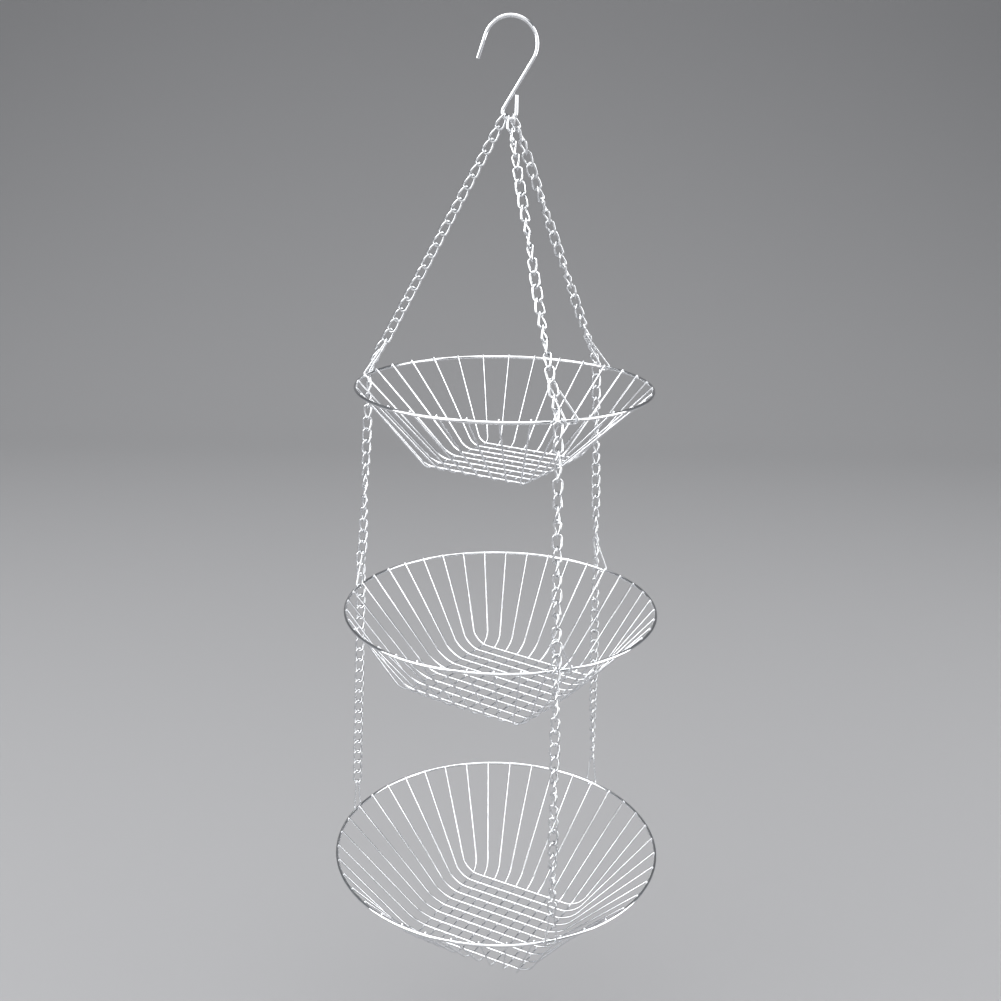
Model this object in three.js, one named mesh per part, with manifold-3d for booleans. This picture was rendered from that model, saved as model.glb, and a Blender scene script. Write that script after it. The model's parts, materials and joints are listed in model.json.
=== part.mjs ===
// Three-tier hanging wire basket: an S-hook, three chains, nine clips and three welded wire bowls.
// Millimetres, +Z up. The origin is the inside of the S-hook's top bend, where it hangs.
import * as THREE from 'three';
import { mergeVertices } from 'three/addons/utils/BufferGeometryUtils.js';
import Module from 'manifold-3d';

const wasm = await Module();
wasm.setup();

// Driving dimensions.
const GAP = 0.3; // clear gap between pieces that touch

const HOOK_WIRE = 3.4; // wire diameter
const HOOK_REACH = 77; // top bend to bottom bend, on the wire's centre line
const HOOK_TOP_RADIUS = 20.8; // centre-line radius of the big loop
const HOOK_SEAT_RADIUS = 5.5; // centre-line radius of the small loop
const HOOK_LEG = 18.5; // straight part at the big loop's open end
const HOOK_TIP = 13; // straight part at the small loop's open end
const HOOK_OPEN_ANGLE = 162; // where the big loop's arc ends, degrees from its right side
const HOOK_TURN = 30; // the hook's plane, degrees from +X

const LINK_WIRE = 2.1; // chain wire diameter
const LINK_WIDTH = 9.3; // outside width of a chain link
const LINK_PLAY = 0.6; // free play between neighbouring links
const FRONT_SEAT = 2; // the front hook link's place on the small loop, degrees from its bottom
const HOOK_PLAY = 1; // free play between a hook link and the hook

const CLIP_WIRE = 1.7;
const CLIP_FOOT = 5.5; // half the clip's width at the rim
const CLIP_CROWN = 2.3; // centre-line radius of the clip's top bend
const CLIP_CLEAR = 0.5; // clear gap between a clip and the rim
const CLIP_ASIDE = 1.3; // the clip's place in a link that it shares with the next link, inward
const CLIP_LIFT = 0.8; // how far the rounded bottom of the link lifts it there
const LINK_ASIDE = 1.8; // the next link's place in the shared link, outward
const CLIP_BUTT = 0.6; // gap between the clip's two wire ends

const RIM_WIRE = 3;
const MESH_WIRE = 1.6; // basket wire diameter
const TIP = 2; // how far the side wires run on past the rim
const WELD = 0.3; // how deep crossing wires sink into each other
const CHAIN_OFFSET = 6; // chain centre line outside a rim's centre line

// The three baskets. drop: rim below the one above (the top one: below the hook's seat).
// lean: how far along the rim each clip's foot stands from its chain, front, rear and left.
const TIERS = [
  { name: 'top', rim: 254, drop: 217.7, depth: 68, pitch: 12.9, wires: 8, bend: 5, turn: 0,
    lean: [12, -12, 10] },
  { name: 'middle', rim: 279.4, drop: 201.5, depth: 75.5, pitch: 12.9, wires: 10, bend: 9, turn: -3.5,
    lean: [9, -10, 9] },
  { name: 'bottom', rim: 304.8, drop: 245, depth: 85.5, pitch: 12.2, wires: 10, bend: 9, turn: 2.3,
    lean: [0, 0, 0] },
];

// The three chains. The front hook link sits at the small loop's bottom, the others beside it.
// side: which way along the loop; gap: the clear gap between the wires on the loop's inside.
const CHAINS = [
  { name: 'front', azimuth: -42, side: 0, gap: 0 },
  { name: 'rear', azimuth: 80, side: 1, gap: 0.619 },
  { name: 'left', azimuth: 186, side: -1, gap: 1.216 },
];

// Links in each run of chain, and links between a junction link and the rim below it.
const UPPER_LINKS = 23;
const MIDDLE_LINKS = 19;
const LOWER_LINKS = 19;
const RIM_LINKS = 3;
const RIM_PASS = 5; // how far below the middle rim its hanging chains pivot
const LAST_JUNCTION = 28; // bottom of the last link above the bottom rim
const LAST_OFFSET = 2; // the last link's centre line outside the bottom rim's centre line

// Fineness of the mesh.
const RIM_STEPS = 60;
const ARC_STEP = 15; // degrees for each step of the hook's arcs
const BEND_STEPS = 3;
const LINK_STEPS = 10;
const LINK_SIDES = 5;

const material = (color, roughness) => new THREE.MeshStandardMaterial({ color, roughness, metalness: 1 });
const MATERIALS = {
  hook: material(0xd9dbde, 0.1),
  chain: material(0xcfd2d6, 0.16),
  clip: material(0xd3d5d8, 0.14),
  rim: material(0xdcdee1, 0.1),
  mesh: material(0xd6d8db, 0.12),
};

const UP = new THREE.Vector3(0, 0, 1);
const rad = THREE.MathUtils.degToRad;
const polar = (radius, degrees, z) =>
  new THREE.Vector3(radius * Math.cos(rad(degrees)), radius * Math.sin(rad(degrees)), z);

// A bent wire's centre line. The reference direction sets how the section is turned.
class WirePath extends THREE.Curve {
  constructor(points, reference) {
    super();
    this.points = points;
    this.reference = reference;
  }

  getPoint(t) {
    const place = t * (this.points.length - 1);
    const start = Math.min(Math.floor(place), this.points.length - 2);
    return this.points[start].clone().lerp(this.points[start + 1], place - start);
  }

  getPointAt(u) {
    return this.getPoint(u);
  }

  computeFrenetFrames(steps) {
    const frames = { tangents: [], normals: [], binormals: [] };
    for (let i = 0; i <= steps; i++) {
      const tangent = new THREE.Vector3();
      if (i > 0) tangent.add(this.points[i].clone().sub(this.points[i - 1]).normalize());
      if (i < steps) tangent.add(this.points[i + 1].clone().sub(this.points[i]).normalize());
      tangent.normalize();
      const binormal = tangent.clone().cross(this.reference).normalize();
      frames.tangents.push(tangent);
      frames.binormals.push(binormal);
      frames.normals.push(binormal.clone().cross(tangent));
    }
    return frames;
  }
}

// A regular polygon with the same area as a round wire's section, one flat facing the reference.
function wireSection(diameter, sides) {
  const area = (Math.PI * diameter * diameter) / 4;
  const radius = Math.sqrt((2 * area) / (sides * Math.sin((2 * Math.PI) / sides)));
  const corners = [];
  for (let i = 0; i < sides; i++) {
    const angle = ((i + 0.5) * 2 * Math.PI) / sides;
    corners.push(new THREE.Vector2(radius * Math.cos(angle), radius * Math.sin(angle)));
  }
  return new THREE.Shape(corners);
}

function bentWire(points, diameter, sides, reference) {
  const extrudePath = new WirePath(points, reference);
  const steps = points.length - 1;
  return new THREE.ExtrudeGeometry(wireSection(diameter, sides), { steps, extrudePath });
}

function addMesh(group, name, geometry, look) {
  const mesh = new THREE.Mesh(geometry, look);
  mesh.name = name;
  group.add(mesh);
  return mesh;
}

// S-hook: tip, big loop, straight shank tangent to both loops, small loop, tip.
const hookWireRadius = HOOK_WIRE / 2;
const hookTopCentre = hookWireRadius - HOOK_TOP_RADIUS;
const hookSeatCentre = hookWireRadius - HOOK_REACH + HOOK_SEAT_RADIUS;
const hookSeatHeight = hookSeatCentre - HOOK_SEAT_RADIUS + hookWireRadius;

function arcPoints(radius, height, from, to) {
  const steps = Math.ceil(Math.abs(to - from) / ARC_STEP);
  const points = [];
  for (let i = 0; i <= steps; i++) {
    const angle = rad(from + ((to - from) * i) / steps);
    points.push(new THREE.Vector3(radius * Math.cos(angle), 0, height + radius * Math.sin(angle)));
  }
  return points;
}

function buildHook(group) {
  const spread = (HOOK_TOP_RADIUS + HOOK_SEAT_RADIUS) / (hookTopCentre - hookSeatCentre);
  const shankAngle = THREE.MathUtils.radToDeg(Math.asin(spread));
  const big = arcPoints(HOOK_TOP_RADIUS, hookTopCentre, HOOK_OPEN_ANGLE, -shankAngle);
  const small = arcPoints(HOOK_SEAT_RADIUS, hookSeatCentre, 180 - shankAngle, 360);
  const open = rad(HOOK_OPEN_ANGLE);
  const leg = new THREE.Vector3(-Math.sin(open), 0, Math.cos(open)).multiplyScalar(HOOK_LEG);
  const tip = small[small.length - 1].clone().add(new THREE.Vector3(0, 0, HOOK_TIP));
  const points = [big[0].clone().add(leg), ...big, ...small, tip];
  const sideways = new THREE.Vector3(0, 1, 0);
  const mesh = addMesh(group, 's_hook', bentWire(points, HOOK_WIRE, 8, sideways), MATERIALS.hook);
  mesh.rotation.z = rad(HOOK_TURN);
}

// One chain link: a ring stretched along Y, lying in the XY plane.
function linkGeometry(pitch) {
  const radius = (LINK_WIDTH - LINK_WIRE) / 2;
  const ring = new THREE.TorusGeometry(radius, LINK_WIRE / 2, LINK_SIDES, LINK_STEPS);
  ring.rotateZ(Math.PI / LINK_STEPS);
  const straight = pitch + 2 * LINK_WIRE + LINK_PLAY - LINK_WIDTH;
  const position = ring.getAttribute('position');
  for (let i = 0; i < position.count; i++) {
    position.setY(i, position.getY(i) + (Math.sign(position.getY(i)) * straight) / 2);
  }
  return ring;
}

// A run of chain: a straight line from one contact point to another, split evenly into links.
class Run {
  constructor(start, end, links) {
    this.start = start;
    this.direction = end.clone().sub(start).normalize();
    this.pitch = end.distanceTo(start) / links;
  }

  contact(link) {
    return this.start.clone().addScaledVector(this.direction, this.pitch * link);
  }

  // A point beside a contact: so far outward, square to the chain, and so far back up the chain.
  beside(link, outward, aside, back) {
    const square = outward.clone().addScaledVector(this.direction, -outward.dot(this.direction));
    square.normalize();
    return this.contact(link).addScaledVector(square, aside).addScaledVector(this.direction, -back);
  }
}

// Link number index of a run, its flat side facing the given direction.
function addLink(group, name, run, index, facing) {
  const mesh = addMesh(group, name, linkGeometry(run.pitch), MATERIALS.chain);
  const normal = facing.clone().addScaledVector(run.direction, -facing.dot(run.direction));
  normal.normalize();
  const across = run.direction.clone().cross(normal);
  mesh.quaternion.setFromRotationMatrix(new THREE.Matrix4().makeBasis(across, run.direction, normal));
  mesh.position.copy(run.contact(index + 0.5));
}

// The joined links between two contacts of a run: a bar with the metal section of the links.
function addStretch(group, name, run, from, to) {
  const bend = LINK_WIDTH - LINK_WIRE;
  const wireLength = 2 * (run.pitch + LINK_WIRE - bend) + Math.PI * bend;
  const section = (Math.PI * LINK_WIRE ** 2 * wireLength) / (4 * run.pitch);
  const clear = LINK_WIRE + LINK_PLAY / 2 + GAP;
  const length = run.pitch * (to - from) - 2 * clear;
  const radius = Math.sqrt(section / Math.PI);
  const bar = new THREE.CylinderGeometry(radius, radius, length, 6);
  const mesh = addMesh(group, name, bar, MATERIALS.chain);
  mesh.quaternion.setFromUnitVectors(new THREE.Vector3(0, 1, 0), run.direction);
  mesh.position.copy(run.contact((from + to) / 2));
}

// The stretch beside a rim starts a little outward, because a clip shares its junction link.
function addRimStretch(group, name, run, from, outward) {
  const start = run.beside(from, outward, LINK_ASIDE, 0);
  addStretch(group, name, new Run(start, run.contact(from + RIM_LINKS), RIM_LINKS), 0, RIM_LINKS);
}

// A clip: a narrow triangle of wire from a junction link's lower bend, its base curled under the rim.
function buildClip(group, name, apex, rimRadius, footAzimuth, rimHeight) {
  const outward = polar(1, footAzimuth, 0);
  const along = UP.clone().cross(outward);
  const foot = polar(rimRadius, footAzimuth, rimHeight);
  const place = (x, y, z) => {
    const point = foot.clone().addScaledVector(along, x).addScaledVector(outward, y);
    return point.addScaledVector(UP, z);
  };
  const reach = (RIM_WIRE + CLIP_WIRE) / 2 + CLIP_CLEAR;
  const under = (side) => [
    place((side * CLIP_BUTT) / 2, 0, -reach),
    place(side * (CLIP_FOOT - 1), 0, -reach),
    place(side * CLIP_FOOT, reach * 0.7, -reach * 0.75),
    place(side * CLIP_FOOT, reach, 0),
  ];
  const top = apex.clone().addScaledVector(UP, CLIP_WIRE / 2 + LINK_PLAY / 2 - CLIP_CROWN);
  const crown = [];
  for (const angle of [0, 45, 90, 135, 180]) {
    const bend = top.clone().addScaledVector(along, CLIP_CROWN * Math.cos(rad(angle)));
    crown.push(bend.addScaledVector(UP, CLIP_CROWN * Math.sin(rad(angle))));
  }
  const points = [...under(1), ...crown, ...under(-1).reverse()];
  addMesh(group, name, bentWire(points, CLIP_WIRE, 4, outward), MATERIALS.clip);
}

// One basket wire: up from its place on the base at both ends, spread evenly along the rim.
function basketWire(tier, index, height, rimRadius) {
  const middle = (tier.wires - 1) / 2;
  const offset = (index - middle) * tier.pitch;
  const spread = ((index - middle) * 90) / tier.wires;
  const edge = middle * tier.pitch + tier.bend;
  const corner = new THREE.Vector3(edge, offset, height);
  const onRim = polar(rimRadius, spread, 0);
  const side = onRim.clone().sub(corner).normalize();
  const inward = UP.clone().addScaledVector(side, -UP.dot(side)).normalize();
  const reach = (RIM_WIRE + MESH_WIRE) / 2 + GAP;
  const tip = onRim.addScaledVector(inward, reach).addScaledVector(side, TIP);
  const flat = corner.clone().setX(edge - tier.bend);
  const rise = corner.clone().lerp(tip, tier.bend / corner.distanceTo(tip));
  const bend = new THREE.QuadraticBezierCurve3(rise, corner, flat).getPoints(BEND_STEPS);
  const half = [tip, ...bend];
  const mirrored = half.map((point) => point.clone().setX(-point.x)).reverse();
  return bentWire([...half, ...mirrored], MESH_WIRE, 4, UP);
}

function toSolid(geometry) {
  geometry.deleteAttribute('normal');
  geometry.deleteAttribute('uv');
  const merged = mergeVertices(geometry, 1e-4);
  const vertProperties = new Float32Array(merged.getAttribute('position').array);
  const triVerts = new Uint32Array(merged.getIndex().array);
  return new wasm.Manifold(new wasm.Mesh({ numProp: 3, vertProperties, triVerts }));
}

function toGeometry(solid) {
  const mesh = solid.getMesh();
  const geometry = new THREE.BufferGeometry();
  geometry.setAttribute('position', new THREE.BufferAttribute(mesh.vertProperties, 3));
  geometry.setIndex(new THREE.BufferAttribute(mesh.triVerts, 1));
  geometry.computeVertexNormals();
  return geometry;
}

// A basket's welded wires: one layer along X lying on another along Y, joined where they cross.
function buildBasket(group, tier, rimRadius, rimHeight) {
  const thickness = (MESH_WIRE * Math.sqrt(Math.PI)) / 2;
  const lower = -tier.depth;
  const upper = lower + thickness - WELD;
  let solid = null;
  for (let index = 0; index < tier.wires; index++) {
    const alongX = toSolid(basketWire(tier, index, upper, rimRadius));
    const alongY = toSolid(basketWire(tier, index, lower, rimRadius).rotateZ(Math.PI / 2));
    solid = solid ? solid.add(alongX) : alongX;
    solid = solid.add(alongY);
  }
  const mesh = addMesh(group, `basket_${tier.name}`, toGeometry(solid), MATERIALS.mesh);
  mesh.position.z = rimHeight;
  mesh.rotation.z = rad(tier.turn);
}

function buildRim(group, tier, rimRadius, rimHeight) {
  const ring = new THREE.TorusGeometry(rimRadius, RIM_WIRE / 2, 6, RIM_STEPS);
  const mesh = addMesh(group, `rim_${tier.name}`, ring, MATERIALS.rim);
  mesh.position.z = rimHeight;
}

// A hook link's place on the small loop, an angle from its bottom.
function seatAngle(chain) {
  const inside = HOOK_SEAT_RADIUS - hookWireRadius;
  return rad(FRONT_SEAT) + (chain.side * (LINK_WIRE + chain.gap)) / inside;
}

// Where a chain that runs to a given point hangs on the small loop, beside its neighbours.
function hookContact(chain, towards) {
  const angle = seatAngle(chain) - Math.PI / 2;
  const wire = polar(HOOK_SEAT_RADIUS * Math.cos(angle), HOOK_TURN, 0);
  wire.setZ(hookSeatCentre + HOOK_SEAT_RADIUS * Math.sin(angle));
  const direction = towards.clone().sub(wire).normalize();
  return wire.addScaledVector(direction, -hookWireRadius - HOOK_PLAY);
}

// The hook wire's direction there: the hook link's flat side faces along it.
function hookWireDirection(chain) {
  const angle = seatAngle(chain);
  return polar(Math.cos(angle), HOOK_TURN, Math.sin(angle));
}

const root = new THREE.Group();
buildHook(root);

let rimHeight = hookSeatHeight;
const rims = TIERS.map((tier) => {
  rimHeight -= tier.drop;
  return { tier, radius: (tier.rim - RIM_WIRE) / 2, height: rimHeight };
});
for (const rim of rims) {
  buildRim(root, rim.tier, rim.radius, rim.height);
  buildBasket(root, rim.tier, rim.radius, rim.height);
}

for (const chain of CHAINS) {
  const outward = polar(1, chain.azimuth, 0);
  const along = UP.clone().cross(outward);
  const beside = (rim, below) => polar(rim.radius + CHAIN_OFFSET, chain.azimuth, rim.height - below);
  const [top, middle, bottom] = rims;
  const last = polar(bottom.radius + LAST_OFFSET, chain.azimuth, bottom.height + LAST_JUNCTION);
  const upperRun = new Run(hookContact(chain, beside(top, 0)), beside(top, 0), UPPER_LINKS);
  const middleRun = new Run(beside(top, 0), beside(middle, RIM_PASS), MIDDLE_LINKS);
  const lowerRun = new Run(beside(middle, RIM_PASS), last, LOWER_LINKS);

  const upperJunction = UPPER_LINKS - RIM_LINKS;
  addLink(root, `hook_link_${chain.name}`, upperRun, 0, hookWireDirection(chain));
  addStretch(root, `upper_chain_${chain.name}`, upperRun, 1, upperJunction - 1);
  addLink(root, `junction_link_top_${chain.name}`, upperRun, upperJunction - 1, along);
  addRimStretch(root, `rim_chain_top_${chain.name}`, upperRun, upperJunction, outward);

  const middleJunction = MIDDLE_LINKS - RIM_LINKS;
  addLink(root, `pivot_link_middle_${chain.name}`, middleRun, 0, outward);
  addStretch(root, `middle_chain_${chain.name}`, middleRun, 1, middleJunction - 2);
  addLink(root, `end_link_middle_${chain.name}`, middleRun, middleJunction - 2, outward);
  addLink(root, `junction_link_middle_${chain.name}`, middleRun, middleJunction - 1, along);
  addRimStretch(root, `rim_chain_middle_${chain.name}`, middleRun, middleJunction, outward);

  addLink(root, `pivot_link_bottom_${chain.name}`, lowerRun, 0, outward);
  addStretch(root, `lower_chain_${chain.name}`, lowerRun, 1, LOWER_LINKS - 2);
  addLink(root, `end_link_bottom_${chain.name}`, lowerRun, LOWER_LINKS - 2, outward);
  addLink(root, `junction_link_bottom_${chain.name}`, lowerRun, LOWER_LINKS - 1, along);

  const shared = (run, link) => run.beside(link, outward, -CLIP_ASIDE, CLIP_LIFT);
  const junctions = [shared(upperRun, upperJunction), shared(middleRun, middleJunction), last];
  rims.forEach((rim, level) => {
    const lean = rim.tier.lean[CHAINS.indexOf(chain)];
    const footAzimuth = chain.azimuth + THREE.MathUtils.radToDeg(lean / rim.radius);
    const name = `clip_${rim.tier.name}_${chain.name}`;
    buildClip(root, name, junctions[level], rim.radius, footAzimuth, rim.height);
  });
}

export default root;
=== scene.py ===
import json
import math

import bpy
from mathutils import Matrix, Vector


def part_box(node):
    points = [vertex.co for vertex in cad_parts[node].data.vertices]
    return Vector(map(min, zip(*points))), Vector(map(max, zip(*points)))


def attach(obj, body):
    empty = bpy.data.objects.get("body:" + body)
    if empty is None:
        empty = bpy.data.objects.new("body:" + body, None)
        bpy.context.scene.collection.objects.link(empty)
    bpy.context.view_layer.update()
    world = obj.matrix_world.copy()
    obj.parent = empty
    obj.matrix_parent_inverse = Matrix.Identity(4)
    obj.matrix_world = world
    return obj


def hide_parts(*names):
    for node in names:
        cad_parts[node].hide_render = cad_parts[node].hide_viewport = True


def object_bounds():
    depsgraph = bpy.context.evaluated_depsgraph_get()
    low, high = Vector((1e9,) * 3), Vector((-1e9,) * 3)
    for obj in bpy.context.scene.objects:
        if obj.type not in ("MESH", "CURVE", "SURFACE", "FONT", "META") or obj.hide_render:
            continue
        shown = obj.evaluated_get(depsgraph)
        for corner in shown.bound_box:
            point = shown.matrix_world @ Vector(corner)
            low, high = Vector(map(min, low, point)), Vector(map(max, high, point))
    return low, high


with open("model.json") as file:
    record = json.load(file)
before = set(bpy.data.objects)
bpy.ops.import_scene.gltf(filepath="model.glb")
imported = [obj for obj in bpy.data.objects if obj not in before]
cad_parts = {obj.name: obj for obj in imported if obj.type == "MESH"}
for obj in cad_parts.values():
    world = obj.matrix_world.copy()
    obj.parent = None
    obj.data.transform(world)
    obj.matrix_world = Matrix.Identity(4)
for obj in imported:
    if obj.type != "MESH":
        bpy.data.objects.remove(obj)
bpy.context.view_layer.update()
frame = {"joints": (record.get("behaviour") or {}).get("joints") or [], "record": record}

rides_with = {
    node: body
    for body, nodes in frame["record"]["behaviour"]["bodies"].items()
    for node in nodes
}
joint_place = {joint["name"]: Vector(joint["pos_m"]) for joint in frame["joints"]}
bpy.ops.object.select_all(action="DESELECT")

# ---------------------------------------------------------------------------
# S-hook. One length of round steel wire, cold bent to a big open loop above and
# a small open loop below, cut square, tumbled, and chrome plated all over.
# ---------------------------------------------------------------------------
hook_gauge = 0.0034
hook_reach = 0.077  # top bend to bottom bend, on the wire's centre line
hook_big_loop = 0.0208
hook_small_loop = 0.0055
hook_leg = 0.0185
hook_tip = 0.013
hook_open_angle = 162.0
hook_turn = math.radians(30)
hook_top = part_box("s_hook")[1].z - hook_gauge / 2
up = Vector((0, 0, 1))


def point_round(centre, across, radius, degrees):
    """A point on an upright circle, counted from the across direction."""
    angle = math.radians(degrees)
    return centre + across * radius * math.cos(angle) + up * radius * math.sin(angle)


def bend_round(centre, across, radius, start, end, steps):
    return [
        point_round(centre, across, radius, start + (end - start) * step / steps)
        for step in range(steps + 1)
    ]


def begin_wires(name):
    """An empty mesh in edit mode, to draw the centre lines of wires in."""
    bpy.ops.mesh.primitive_plane_add(size=0.001, location=(0, 0, 0))
    bpy.context.object.name = name
    bpy.ops.object.mode_set(mode="EDIT")
    bpy.ops.mesh.select_mode(type="VERT")
    bpy.ops.mesh.delete(type="VERT")


def pull_wire(points):
    """One point at the wire's start, pulled out along its centre line."""
    bpy.ops.mesh.primitive_plane_add(size=0.001, location=points[0])
    bpy.ops.mesh.merge(type="CENTER")
    for here, there in zip(points, points[1:]):
        bpy.ops.mesh.extrude_region_move(TRANSFORM_OT_translate={"value": there - here})


def pick_points(chosen):
    """Back in edit mode with only the points that the test accepts selected."""
    bpy.ops.object.mode_set(mode="EDIT")
    bpy.ops.mesh.select_mode(type="VERT")
    bpy.ops.mesh.select_all(action="DESELECT")
    bpy.ops.object.mode_set(mode="OBJECT")
    for point in bpy.context.object.data.vertices:
        point.select = chosen(point.co)
    bpy.ops.object.mode_set(mode="EDIT")


def draw_round(gauge, fineness, cut=0.12):
    """The drawn centre lines become round wires with tumbled, closed ends."""
    bpy.ops.object.mode_set(mode="OBJECT")
    bpy.ops.object.convert(target="CURVE")
    bpy.context.object.data.bevel_depth = gauge / 2
    bpy.context.object.data.bevel_resolution = fineness
    bpy.context.object.data.use_fill_caps = True
    bpy.ops.object.convert(target="MESH")
    bpy.ops.object.mode_set(mode="EDIT")
    bpy.ops.mesh.select_all(action="SELECT")
    bpy.ops.mesh.remove_doubles(threshold=1e-6)
    bpy.ops.mesh.normals_make_consistent(inside=False)
    bpy.ops.object.mode_set(mode="OBJECT")
    bpy.ops.object.modifier_add(type="BEVEL")
    rounding = bpy.context.object.modifiers[-1]
    rounding.limit_method = "ANGLE"
    rounding.angle_limit = math.radians(65)
    rounding.width = gauge * cut
    rounding.segments = 2
    bpy.ops.object.modifier_apply(modifier=rounding.name)
    bpy.ops.object.shade_smooth_by_angle(angle=math.radians(50))
    return bpy.context.object


def plate_effect():
    """The node group for bright plate: colour, roughness and a fine height."""
    group = bpy.data.node_groups.new("bright_plate", "ShaderNodeTree")
    for name, kind, value in (
        ("Tint", "NodeSocketColor", (0.8, 0.8, 0.8, 1)),
        ("Shade", "NodeSocketColor", (0.6, 0.6, 0.6, 1)),
        ("Polish", "NodeSocketFloat", 0.1),
        ("Haze", "NodeSocketFloat", 0.1),
        ("Patch Size", "NodeSocketFloat", 120.0),
        ("Grain Size", "NodeSocketFloat", 1500.0),
    ):
        socket = group.interface.new_socket(name=name, in_out="INPUT", socket_type=kind)
        socket.default_value = value
    for name, kind in (
        ("Color", "NodeSocketColor"),
        ("Roughness", "NodeSocketFloat"),
        ("Height", "NodeSocketFloat"),
    ):
        group.interface.new_socket(name=name, in_out="OUTPUT", socket_type=kind)
    nodes, join = group.nodes, group.links.new
    given = nodes.new("NodeGroupInput")
    result = nodes.new("NodeGroupOutput")
    place = nodes.new("ShaderNodeTexCoord")
    patches = nodes.new("ShaderNodeTexNoise")
    patches.inputs["Detail"].default_value = 3
    patches.inputs["Roughness"].default_value = 0.6
    grain = nodes.new("ShaderNodeTexNoise")
    grain.inputs["Detail"].default_value = 2
    pits = nodes.new("ShaderNodeTexVoronoi")
    patterns = ((patches, "Patch Size"), (grain, "Grain Size"), (pits, "Grain Size"))
    for pattern, size in patterns:
        join(place.outputs["Object"], pattern.inputs["Vector"])
        join(given.outputs[size], pattern.inputs["Scale"])
    spread = nodes.new("ShaderNodeMapRange")
    spread.inputs["From Min"].default_value = 0.35
    spread.inputs["From Max"].default_value = 0.7
    join(patches.outputs["Fac"], spread.inputs["Value"])
    tone = nodes.new("ShaderNodeMix")
    tone.data_type = "RGBA"
    join(spread.outputs["Result"], tone.inputs["Factor"])
    join(given.outputs["Tint"], tone.inputs[6])
    join(given.outputs["Shade"], tone.inputs[7])
    join(tone.outputs[2], result.inputs["Color"])
    mixed = nodes.new("ShaderNodeMath")
    mixed.operation = "MULTIPLY"
    join(spread.outputs["Result"], mixed.inputs[0])
    join(grain.outputs["Fac"], mixed.inputs[1])
    rough = nodes.new("ShaderNodeMath")
    rough.operation = "MULTIPLY_ADD"
    join(mixed.outputs["Value"], rough.inputs[0])
    join(given.outputs["Haze"], rough.inputs[1])
    join(given.outputs["Polish"], rough.inputs[2])
    join(rough.outputs["Value"], result.inputs["Roughness"])
    height = nodes.new("ShaderNodeMath")
    height.operation = "MULTIPLY_ADD"
    height.inputs[1].default_value = 0.35
    join(pits.outputs["Distance"], height.inputs[0])
    join(grain.outputs["Fac"], height.inputs[2])
    join(height.outputs["Value"], result.inputs["Height"])
    return group


bright_plate = plate_effect()


def plated_finish(name, tint, shade, polish, haze, patch_size, grain_size, relief):
    """A plated steel: the shared plate effect with this finish's own values."""
    finish = bpy.data.materials.new(name)
    finish.use_nodes = True
    nodes, join = finish.node_tree.nodes, finish.node_tree.links.new
    shader = nodes["Principled BSDF"]
    shader.inputs["Metallic"].default_value = 1.0
    plate = nodes.new("ShaderNodeGroup")
    plate.node_tree = bright_plate
    plate.inputs["Tint"].default_value = (*tint, 1)
    plate.inputs["Shade"].default_value = (*shade, 1)
    plate.inputs["Polish"].default_value = polish
    plate.inputs["Haze"].default_value = haze
    plate.inputs["Patch Size"].default_value = patch_size
    plate.inputs["Grain Size"].default_value = grain_size
    bump = nodes.new("ShaderNodeBump")
    bump.inputs["Strength"].default_value = relief
    bump.inputs["Distance"].default_value = 0.00002
    join(plate.outputs["Color"], shader.inputs["Base Color"])
    join(plate.outputs["Roughness"], shader.inputs["Roughness"])
    join(plate.outputs["Height"], bump.inputs["Height"])
    join(bump.outputs["Normal"], shader.inputs["Normal"])
    return finish


hook_chrome = plated_finish(
    "hook_chrome", (0.9, 0.91, 0.93), (0.78, 0.79, 0.81), 0.05, 0.12, 90, 1300, 0.35
)

hook_across = Vector((math.cos(hook_turn), math.sin(hook_turn), 0))
big_centre = Vector((0, 0, hook_top - hook_big_loop))
small_centre = Vector((0, 0, hook_top - hook_reach + hook_small_loop))
shank_lean = math.degrees(
    math.asin((hook_big_loop + hook_small_loop) / (big_centre.z - small_centre.z))
)
hook_line = bend_round(
    big_centre, hook_across, hook_big_loop, hook_open_angle, -shank_lean, 40
)
hook_line += bend_round(
    small_centre, hook_across, hook_small_loop, 180 - shank_lean, 360, 24
)
open_angle = math.radians(hook_open_angle)
leg_direction = hook_across * -math.sin(open_angle) + up * math.cos(open_angle)
hook_line.insert(0, hook_line[0] + leg_direction * hook_leg)
hook_line.append(hook_line[-1] + up * hook_tip)

begin_wires("s_hook_wire")
pull_wire(hook_line)
hook = draw_round(hook_gauge, 6)
hook.data.materials.append(hook_chrome)
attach(hook, "s_hook")
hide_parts("s_hook")

# ---------------------------------------------------------------------------
# Chains. Three lengths of curb chain, 61 links each: every link is a ring of
# plated wire, closed and then twisted, so that the chain lies nearly flat, and
# each chain turns about itself on its way down, some more and some hardly.
# ---------------------------------------------------------------------------
link_gauge = 0.0021
link_width = 0.0093
link_twist = 72.0
link_play = 0.0002
link_wander = 4.0  # degrees, how unevenly the links of a chain turn
upper_links = 20  # hook link to the top rim's junction link
middle_links = 16
lower_links = 19
rim_links = 3
junction_aside = 0.0018  # a junction link holds the next link beside the clip
hook_slack = 0.0014
# How far each chain turns in its three stretches, in degrees. The links at the
# ends stand square to the hook or the rims, so each turn is the nearest that fits.
chain_turns = {"front": (450, 900, 540), "rear": (560, 360, 180), "left": (10, 360, 0)}
hook_ease = {"front": 0.0, "rear": 0.0, "left": 12.0}
chain_azimuth = {"front": -42.0, "rear": 80.0, "left": 186.0}
hook_seat = {"front": 2.0, "rear": 43.0, "left": -48.0}

chain_chrome = plated_finish(
    "chain_chrome", (0.86, 0.87, 0.88), (0.7, 0.71, 0.73), 0.09, 0.16, 160, 1700, 0.5
)


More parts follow.
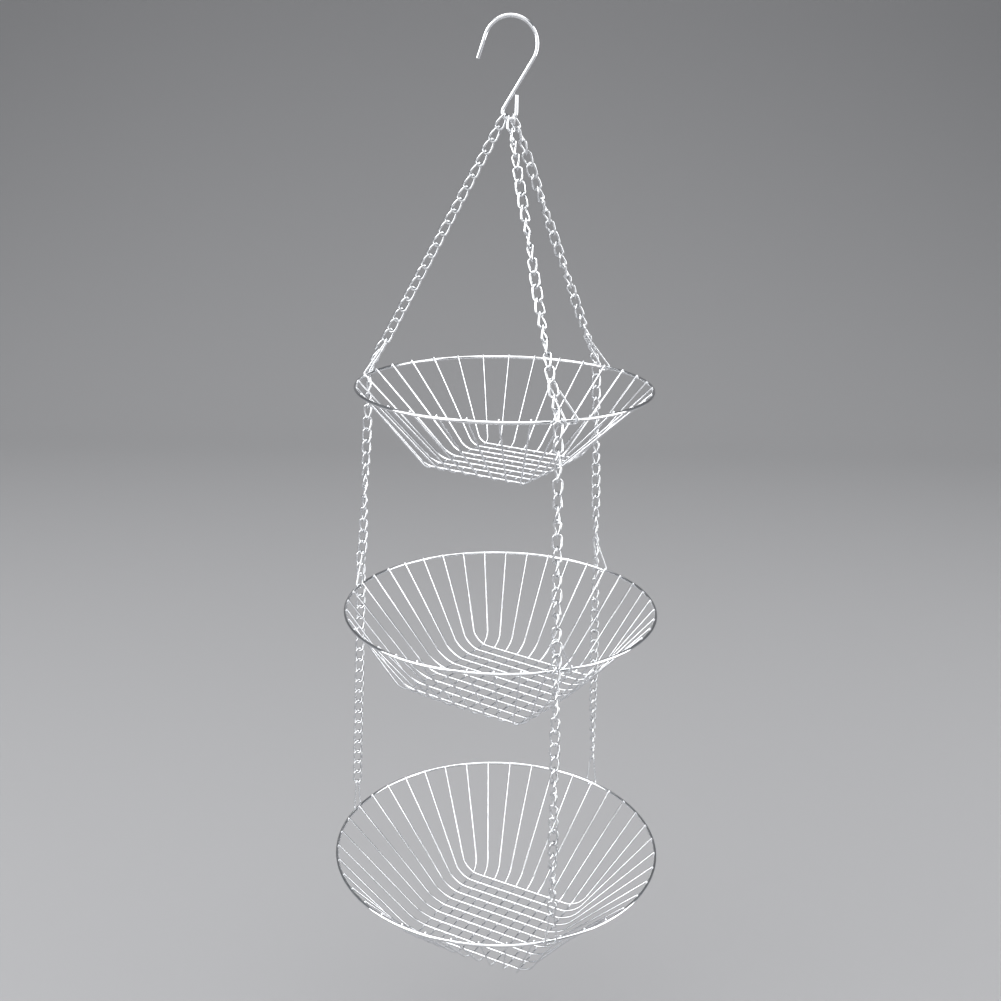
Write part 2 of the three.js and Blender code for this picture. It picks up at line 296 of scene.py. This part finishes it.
def shape_link(pitch):
    """One link: a ring of wire, drawn out to its length and then twisted."""
    bpy.ops.mesh.primitive_torus_add(
        major_segments=24,
        minor_segments=6,
        major_radius=(link_width - link_gauge) / 2,
        minor_radius=link_gauge / 2,
        location=(0, 0, 0),
    )
    link = bpy.context.object
    straight = pitch + 2 * link_gauge + link_play - link_width
    for end in (-1, 1):
        pick_points(lambda point: point.y * end > 0.0001)
        bpy.ops.transform.translate(value=(0, end * straight / 2, 0))
    bpy.ops.object.mode_set(mode="OBJECT")
    bpy.ops.object.modifier_add(type="SIMPLE_DEFORM")
    twist = link.modifiers[-1]
    twist.deform_method = "TWIST"
    twist.deform_axis = "Y"
    twist.angle = math.radians(link_twist)
    bpy.ops.object.modifier_apply(modifier=twist.name)
    bpy.ops.object.shade_smooth()
    return link


def hang_links(name, start, end, first, count, angles, facing):
    """A row of links between two contact points, joined to one piece."""
    pitch = (end - start).length / count
    direction = (end - start).normalized()
    master = shape_link(pitch)
    row = []
    for index in range(count):
        bpy.ops.object.select_all(action="DESELECT")
        master.select_set(True)
        bpy.context.view_layer.objects.active = master
        bpy.ops.object.duplicate()
        link = bpy.context.object
        normal = (facing - direction * facing.dot(direction)).normalized()
        normal.rotate(Matrix.Rotation(math.radians(angles[first + index]), 3, direction))
        across = direction.cross(normal)
        turn = Matrix((across, direction, normal)).transposed().to_4x4()
        link_middle = start + direction * pitch * (index + 0.5)
        link.matrix_world = Matrix.Translation(link_middle) @ turn
        row.append(link)
    bpy.data.objects.remove(master)
    bpy.ops.object.select_all(action="DESELECT")
    for link in row:
        link.select_set(True)
    bpy.context.view_layer.objects.active = row[0]
    bpy.ops.object.transform_apply(location=True, rotation=True, scale=True)
    if count > 1:
        bpy.ops.object.join()
    piece = bpy.context.object
    piece.name = name
    piece.data.materials.append(chain_chrome)
    return piece


def middle_of(node):
    low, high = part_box(node)
    return (low + high) / 2


def even_turns(angles, start, end, links):
    """The angles of the next links, turning evenly to the last one's angle."""
    for link in range(1, links + 1):
        angles.append(start + (end - start) * link / links)


junction_contact = {}
for side, azimuth in chain_azimuth.items():
    suffix = "" if side == "front" else "_" + side
    outward = Vector((math.cos(math.radians(azimuth)), math.sin(math.radians(azimuth)), 0))
    along_rim = up.cross(outward)

    # Contact points: where each stretch of the chain starts and ends.
    hook_middle = middle_of("hook_link_" + side)
    junction_middle = middle_of("junction_link_top_" + side)
    step = (junction_middle - hook_middle) / (upper_links - 1)
    hook_contact = hook_middle - step / 2 + step.normalized() * hook_slack
    top_junction_end = junction_middle + step / 2
    top_rim_end = joint_place["middle_sway_x" + suffix]
    junction_middle = middle_of("junction_link_middle_" + side)
    step = (junction_middle - top_rim_end) / (middle_links - 0.5)
    middle_junction_end = junction_middle + step / 2
    middle_rim_end = joint_place["bottom_sway_x" + suffix]
    junction_middle = middle_of("junction_link_bottom_" + side)
    step = (junction_middle - middle_rim_end) / (lower_links - 0.5)
    bottom_junction_end = junction_middle + step / 2
    junction_contact[side] = (top_junction_end, middle_junction_end, bottom_junction_end)

    # The hook link's top bend stands square to the hook's wire; each junction
    # link's lower bend stands square to the rim, and the links between turn evenly.
    seat_angle = math.radians(hook_seat[side])
    hook_wire = hook_across * math.cos(seat_angle) + up * math.sin(seat_angle)
    direction = (top_junction_end - hook_contact).normalized()
    square = (hook_wire - direction * hook_wire.dot(direction)).normalized()
    reference = (along_rim - direction * along_rim.dot(direction)).normalized()
    square_angle = math.degrees(
        math.atan2(reference.cross(square).dot(direction), reference.dot(square))
    )
    angles = [square_angle + link_twist / 2 + hook_ease[side]]
    counts = (upper_links - 1, rim_links + middle_links, rim_links + lower_links)
    for turn, links in zip(chain_turns[side], counts):
        half_turns = round((angles[-1] - turn + link_twist / 2) / 180)
        even_turns(angles, angles[-1], 180 * half_turns - link_twist / 2, links)
    for link in range(1, len(angles) - 1):
        angles[link] += link_wander * math.sin(1.9 * link + azimuth)

    def hang_stretch(node, start, end, first, links, stretch_links, at=0):
        """Some links of a stretch as one node's piece: first of them in the chain,
        how many, how many the stretch has, and how many come before them in it."""
        pitch_step = (end - start) / stretch_links
        piece = hang_links(
            node + "_wire",
            start + pitch_step * at,
            start + pitch_step * (at + links),
            first,
            links,
            angles,
            along_rim,
        )
        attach(piece, rides_with[node])
        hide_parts(node)

    stretch = (hook_contact, top_junction_end)
    last = upper_links - 1
    hang_stretch("hook_link_" + side, *stretch, 0, 1, upper_links)
    hang_stretch("upper_chain_" + side, *stretch, 1, last - 1, upper_links, at=1)
    hang_stretch("junction_link_top_" + side, *stretch, last, 1, upper_links, at=last)

    first = upper_links
    stretch = (top_junction_end + outward * junction_aside, top_rim_end)
    hang_stretch("rim_chain_top_" + side, *stretch, first, rim_links, rim_links)

    # The two hanging stretches are alike: a pivot link, chain, an end link, a junction.
    for tier, chain, links, stretch in (
        ("middle", "middle_chain_", middle_links, (top_rim_end, middle_junction_end)),
        ("bottom", "lower_chain_", lower_links, (middle_rim_end, bottom_junction_end)),
    ):
        first += rim_links
        last = links - 1
        ends = (
            (f"pivot_link_{tier}_", 0, 1),
            (chain, 1, last - 2),
            (f"end_link_{tier}_", last - 1, 1),
            (f"junction_link_{tier}_", last, 1),
        )
        for node, at, count in ends:
            hang_stretch(node + side, *stretch, first + at, count, links, at=at)
        first += links
        if tier == "middle":
            beside = (middle_junction_end + outward * junction_aside, middle_rim_end)
            hang_stretch("rim_chain_middle_" + side, *beside, first, rim_links, rim_links)

# ---------------------------------------------------------------------------
# Rims. Each basket's mouth is a ring of 3 mm wire, rolled round, butt welded
# with a slight upset at the joint, and plated with the rest of the basket.
# ---------------------------------------------------------------------------
rim_gauge = 0.003
rim_upset = 0.0002
rim_joint_azimuth = 112.0

rim_chrome = plated_finish(
    "rim_chrome", (0.9, 0.91, 0.92), (0.8, 0.81, 0.83), 0.05, 0.1, 70, 1100, 0.3
)

rim_place = {}
for tier in ("top", "middle", "bottom"):
    low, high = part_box("rim_" + tier)
    radius = (high.x - low.x - rim_gauge) / 2
    height = (low.z + high.z) / 2
    rim_place[tier] = (radius, height)
    bpy.ops.mesh.primitive_torus_add(
        major_segments=144,
        minor_segments=14,
        major_radius=radius,
        minor_radius=rim_gauge / 2,
        location=(0, 0, height),
    )
    rim = bpy.context.object
    rim.name = "rim_ring_" + tier
    bpy.ops.object.transform_apply(location=True)
    joint_azimuth = math.radians(rim_joint_azimuth)
    joint_point = Vector((math.cos(joint_azimuth), math.sin(joint_azimuth), 0)) * radius
    joint_point.z = height
    pick_points(lambda point: (point - joint_point).length < rim_gauge * 0.7)
    bpy.ops.transform.shrink_fatten(value=rim_upset)
    bpy.ops.object.mode_set(mode="OBJECT")
    bpy.ops.object.shade_smooth()
    rim.data.materials.append(rim_chrome)
    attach(rim, rides_with["rim_" + tier])
    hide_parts("rim_" + tier)

# ---------------------------------------------------------------------------
# Clips. Nine bits of springy wire: a round crown hooked through a chain link,
# two legs spreading down outside the rim, and both ends curled in under it.
# ---------------------------------------------------------------------------
clip_gauge = 0.0017
clip_foot = 0.0055
clip_crown = 0.0023
clip_aside = 0.0013  # inward of the next link in the link they share
clip_lift = 0.0008
clip_butt = 0.0006
curl_start = -84  # degrees around the rim, counted from its outside: under it
curl_step = 15
curl_steps = 7
curl_inner = 0.42  # where the curl starts, as a share of the foot's half width
clip_hug = (rim_gauge + clip_gauge) / 2 + 0.0001
clip_lean = {
    "top": {"front": 0.012, "rear": -0.012, "left": 0.010},
    "middle": {"front": 0.009, "rear": -0.010, "left": 0.009},
    "bottom": {"front": 0.0, "rear": 0.0, "left": 0.0},
}

clip_chrome = plated_finish(
    "clip_chrome", (0.88, 0.89, 0.9), (0.74, 0.75, 0.77), 0.08, 0.14, 200, 1800, 0.4
)

for level, tier in enumerate(("top", "middle", "bottom")):
    radius, height = rim_place[tier]
    for side, azimuth in chain_azimuth.items():
        node = f"clip_{tier}_{side}"
        chain_outward = Vector(
            (math.cos(math.radians(azimuth)), math.sin(math.radians(azimuth)), 0)
        )
        apex = junction_contact[side][level].copy()
        if tier != "bottom":
            apex += up * clip_lift - chain_outward * clip_aside
        foot_angle = math.radians(azimuth) + clip_lean[tier][side] / radius
        outward = Vector((math.cos(foot_angle), math.sin(foot_angle), 0))
        along_rim = up.cross(outward)
        foot = outward * radius + up * height

        def curled_end(side_sign):
            """From the middle under the rim, out along it, and up its outside."""
            curl = [(clip_butt / 2, 0, -1), (clip_foot * 0.3, 0.04, -1)]
            for step in range(curl_steps):
                turn = math.radians(curl_start + curl_step * step)
                spread = math.sin(math.radians(15 + 12.5 * step))
                share = curl_inner + (1 - curl_inner) * spread
                curl.append((clip_foot * share, math.cos(turn), math.sin(turn)))
            curl.append((clip_foot * 0.97, 1.02, 0.7))
            return [
                foot
                + along_rim * side_sign * aside
                + (outward * out + up * rise) * clip_hug
                for aside, out, rise in curl
            ]

        crown_centre = apex + up * (clip_gauge / 2 - clip_crown)
        crown = bend_round(crown_centre, along_rim, clip_crown, -8, 188, 14)
        begin_wires(node + "_wire")
        pull_wire(curled_end(1) + crown + curled_end(-1)[::-1])
        clip = draw_round(clip_gauge, 3)
        clip.data.materials.append(clip_chrome)
        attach(clip, rides_with[node])
        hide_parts(node)

# ---------------------------------------------------------------------------
# Basket wires. Two layers of thin wire cross in a square grid at the base, one
# lying on the other, bend up the sides and fan out to the rim. Every crossing
# and every end is spot welded, and the ends stand a little past the rim.
# ---------------------------------------------------------------------------
mesh_gauge = 0.0016
mesh_sink = 0.0003  # how deep welded wires press into each other
mesh_tip = 0.0011
weld_width = 0.0011
weld_height = 0.0006
basket_plan = {
    "top": {"depth": 0.068, "pitch": 0.0129, "wires": 8, "bend": 0.007, "turn": 0.0},
    "middle": {"depth": 0.0755, "pitch": 0.0129, "wires": 10, "bend": 0.014, "turn": -3.5},
    "bottom": {"depth": 0.0855, "pitch": 0.0122, "wires": 10, "bend": 0.014, "turn": 2.3},
}
base_corner = {"top": 0.005, "middle": 0.009, "bottom": 0.009}

mesh_chrome = plated_finish(
    "mesh_chrome", (0.88, 0.89, 0.91), (0.74, 0.75, 0.77), 0.07, 0.13, 110, 1600, 0.4
)
weld_chrome = plated_finish(
    "weld_chrome", (0.72, 0.73, 0.74), (0.5, 0.5, 0.51), 0.2, 0.25, 400, 2400, 0.9
)


def basket_wire(plan, corner, index, level, radius):
    """Half of one wire, along X: its tip past the rim, its bend, its base."""
    place = index - (plan["wires"] - 1) / 2
    offset = place * plan["pitch"]
    edge = (plan["wires"] - 1) / 2 * plan["pitch"] + corner
    fan = math.radians(place * 90 / plan["wires"])
    bend = Vector((edge, offset, level))
    on_rim = Vector((radius * math.cos(fan), radius * math.sin(fan), 0))
    rise = (on_rim - bend).normalized()
    inward = (up - rise * up.dot(rise)).normalized()
    seat = on_rim + inward * ((rim_gauge + mesh_gauge) / 2 - mesh_sink)
    weld = on_rim + inward * (rim_gauge / 2)
    return seat + rise * mesh_tip, bend, weld


for tier, plan in basket_plan.items():
    radius, height = rim_place[tier]
    turn = Matrix.Translation(Vector((0, 0, height)))
    turn = turn @ Matrix.Rotation(math.radians(plan["turn"]), 4, "Z")
    quarter = Matrix.Rotation(math.radians(90), 4, "Z")
    welds = []
    begin_wires("basket_wires_" + tier)
    for layer in (0, 1):
        level = -plan["depth"] + (0 if layer else mesh_gauge - mesh_sink)
        way = turn @ quarter if layer else turn
        for index in range(plan["wires"]):
            tip, bend, weld = basket_wire(plan, base_corner[tier], index, level, radius)
            flip = Vector((-1, 1, 1))
            line = [way @ tip, way @ bend, way @ (bend * flip), way @ (tip * flip)]
            pull_wire(line)
            welds += [way @ weld, way @ (weld * flip)]
    base_level = height - plan["depth"] + mesh_gauge
    pick_points(lambda point: point.z < base_level)
    bpy.ops.mesh.bevel(
        offset_type="OFFSET", offset=plan["bend"], segments=8, affect="VERTICES"
    )
    basket = draw_round(mesh_gauge, 2)
    basket.data.materials.append(mesh_chrome)
    basket.data.materials.append(weld_chrome)
    bpy.ops.object.mode_set(mode="EDIT")
    bpy.ops.mesh.select_all(action="DESELECT")
    grid = [(i - (plan["wires"] - 1) / 2) * plan["pitch"] for i in range(plan["wires"])]
    crossing = -plan["depth"] + (mesh_gauge - mesh_sink) / 2
    welds += [turn @ Vector((x, y, crossing)) for x in grid for y in grid]
    for weld in welds:
        bpy.ops.mesh.primitive_uv_sphere_add(
            segments=8,
            ring_count=5,
            radius=1,
            scale=(weld_width, weld_width, weld_height),
            location=weld,
        )
        bpy.context.object.active_material_index = 1
        bpy.ops.object.material_slot_assign()
        bpy.ops.mesh.faces_shade_smooth()
    bpy.ops.object.mode_set(mode="OBJECT")
    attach(basket, rides_with["basket_" + tier])
    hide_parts("basket_" + tier)

# ---------------------------------------------------------------------------
# Room. A plain pale floor that sweeps up into a backdrop, four soft lamps and an
# even light from above, and the camera, a little above the top basket's rim.
# ---------------------------------------------------------------------------
floor_drop = 0.14  # the set hangs clear of the floor
floor_size = (8, 6, 4)
floor_behind = 0.4
floor_sweep = 1.2
floor_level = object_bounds()[0].z - floor_drop
camera_back = 1.0276
camera_left = 0.0017
camera_drop = 0.0609  # below the hook's top bend
camera_pitch = 17.91
view_turn = math.radians(30)
away = Vector((-math.sin(view_turn), math.cos(view_turn), 0))
aside = Vector((math.cos(view_turn), math.sin(view_turn), 0))

bpy.ops.object.select_all(action="DESELECT")
bpy.ops.mesh.primitive_plane_add(size=1, location=(0, 0, 0))
floor = bpy.context.object
floor.name = "floor"
pick_points(lambda point: point.y > 0)
bpy.ops.mesh.select_mode(type="EDGE")
bpy.ops.mesh.extrude_region_move(TRANSFORM_OT_translate={"value": (0, 0, 1)})
bpy.ops.object.mode_set(mode="OBJECT")
floor.scale = floor_size
floor.rotation_euler = (0, 0, view_turn)
floor.location = up * floor_level + away * floor_behind
bpy.ops.object.transform_apply(location=True, rotation=True, scale=True)
bpy.ops.object.modifier_add(type="BEVEL")
floor.modifiers[-1].width = floor_sweep
floor.modifiers[-1].segments = 24
bpy.ops.object.modifier_apply(modifier=floor.modifiers[-1].name)
bpy.ops.object.shade_smooth()

floor_paint = bpy.data.materials.new("floor_paint")
floor_paint.use_nodes = True
floor_shader = floor_paint.node_tree.nodes["Principled BSDF"]
floor_shader.inputs["Base Color"].default_value = (0.3, 0.3, 0.307, 1)
floor_shader.inputs["Roughness"].default_value = 0.9
floor.data.materials.append(floor_paint)


def soft_lamp(name, place, target, size, power):
    bpy.ops.object.light_add(type="AREA", location=place)
    lamp = bpy.context.object
    lamp.name = name
    lamp.data.shape = "RECTANGLE"
    lamp.data.size, lamp.data.size_y = size
    lamp.data.energy = power
    lamp.rotation_euler = (target - place).to_track_quat("-Z", "Y").to_euler()
    lamp.visible_camera = False


middle = up * -0.42
soft_lamp("lamp_left", aside * -1.9 - away * 1.0 + up * 0.5, middle, (2.2, 2.6), 62)
soft_lamp("lamp_right", aside * 2.1 - away * 0.4 + up * 0.2, middle, (1.6, 2.4), 36)
soft_lamp("lamp_above", away * 0.3 + up * 1.7, middle, (2.6, 2.6), 20)
soft_lamp("lamp_front", away * -2.3 + up * 0.5, middle, (2.4, 2.4), 16)

bpy.ops.object.light_add(type="SUN", location=up)
bpy.context.object.name = "lamp_overall"
bpy.context.object.data.energy = 1.6
bpy.context.object.data.angle = math.radians(60)

world = bpy.data.worlds.new("room")
bpy.context.scene.world = world
world.use_nodes = True
world_nodes, world_join = world.node_tree.nodes, world.node_tree.links.new
room_light = world_nodes["Background"]
room_light.inputs["Color"].default_value = (0.5, 0.52, 0.55, 1)
room_light.inputs["Strength"].default_value = 0.4
room_seen = world_nodes.new("ShaderNodeBackground")
room_seen.inputs["Color"].default_value = (0.3, 0.3, 0.31, 1)
ray = world_nodes.new("ShaderNodeLightPath")
either = world_nodes.new("ShaderNodeMixShader")
world_join(ray.outputs["Is Camera Ray"], either.inputs["Fac"])
world_join(room_light.outputs["Background"], either.inputs[1])
world_join(room_seen.outputs["Background"], either.inputs[2])
world_join(either.outputs["Shader"], world_nodes["World Output"].inputs["Surface"])

camera_place = away * -camera_back - aside * camera_left + up * -camera_drop
camera_tilt = math.radians(90 - camera_pitch)
camera_roll = math.radians(1.0)
bpy.ops.object.camera_add(location=camera_place)
camera = bpy.context.object
turned = Matrix.Rotation(view_turn, 3, "Z") @ Matrix.Rotation(camera_tilt, 3, "X")
camera.rotation_euler = (turned @ Matrix.Rotation(camera_roll, 3, "Z")).to_euler()
camera.data.sensor_width = 36
camera.data.lens = 44.57
camera.data.clip_start = 0.01
bpy.context.scene.camera = camera
bpy.context.scene.view_settings.view_transform = "Standard"
